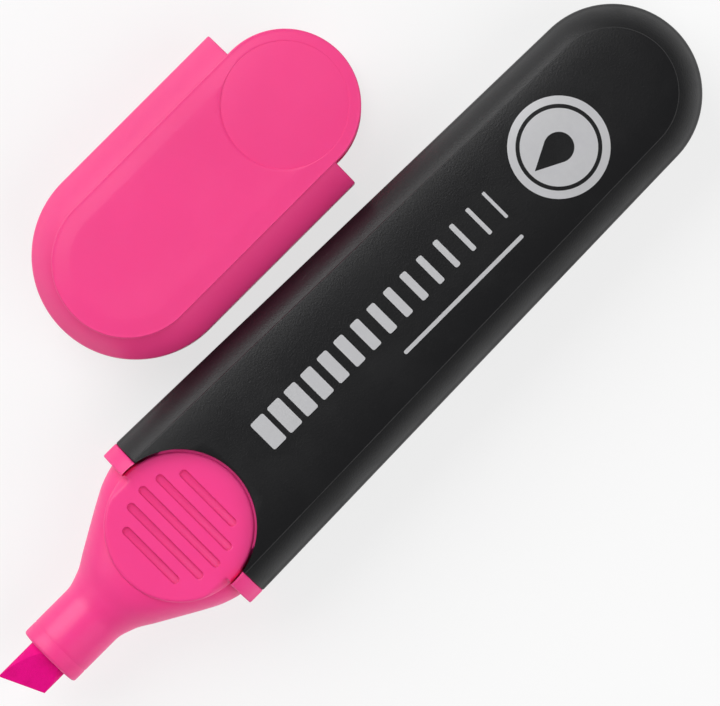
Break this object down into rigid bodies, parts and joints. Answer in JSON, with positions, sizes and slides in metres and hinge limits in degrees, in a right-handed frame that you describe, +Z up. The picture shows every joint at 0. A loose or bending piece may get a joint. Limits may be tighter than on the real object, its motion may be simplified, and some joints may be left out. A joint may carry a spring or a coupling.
{
  "type": "highlighter",
  "caption": "Flat highlighter with a tapered barrel, a felt chisel nib on a flared front section with round finger pads, and a pull-off cap with two tongues lying beside it.",
  "frame": {"origin": "on the underside of the barrel, on the pen's long axis, at the middle of the barrel's length", "axes": "+X along the pen towards the barrel's round end, +Y across the pen towards the cap, +Z up out of the printed broad face"},
  "size_m": [0.1128, 0.0518, 0.0155],
  "materials": {
    "barrel_plastic": "black moulded plastic with a fine even grain",
    "front_plastic": "satin pink moulded plastic, slightly translucent where it is thin",
    "cap_plastic": "satin pink moulded plastic",
    "liner_plastic": "soft pale pink sealing plastic",
    "nib_felt": "bonded felt soaked with pink ink",
    "reservoir_fibre": "bundled fibre soaked with pink ink",
    "clear_film": "thin clear wrapping film",
    "silver_ink": "thin silver pad print"
  },
  "bodies": {
    "pen": {"barrel": "barrel_plastic", "front_section": "front_plastic", "nib": "nib_felt", "reservoir_core": "reservoir_fibre", "reservoir_film": "clear_film", "barrel_print": "silver_ink"},
    "cap": {"cap_shell": "cap_plastic", "cap_liner": "liner_plastic"}
  },
  "joints": [
    {"name": "cap_slide", "type": "slide", "parent": "pen", "child": "cap", "axis": [-1, 0, 0], "range_m": [0, 0.085]}
  ]
}
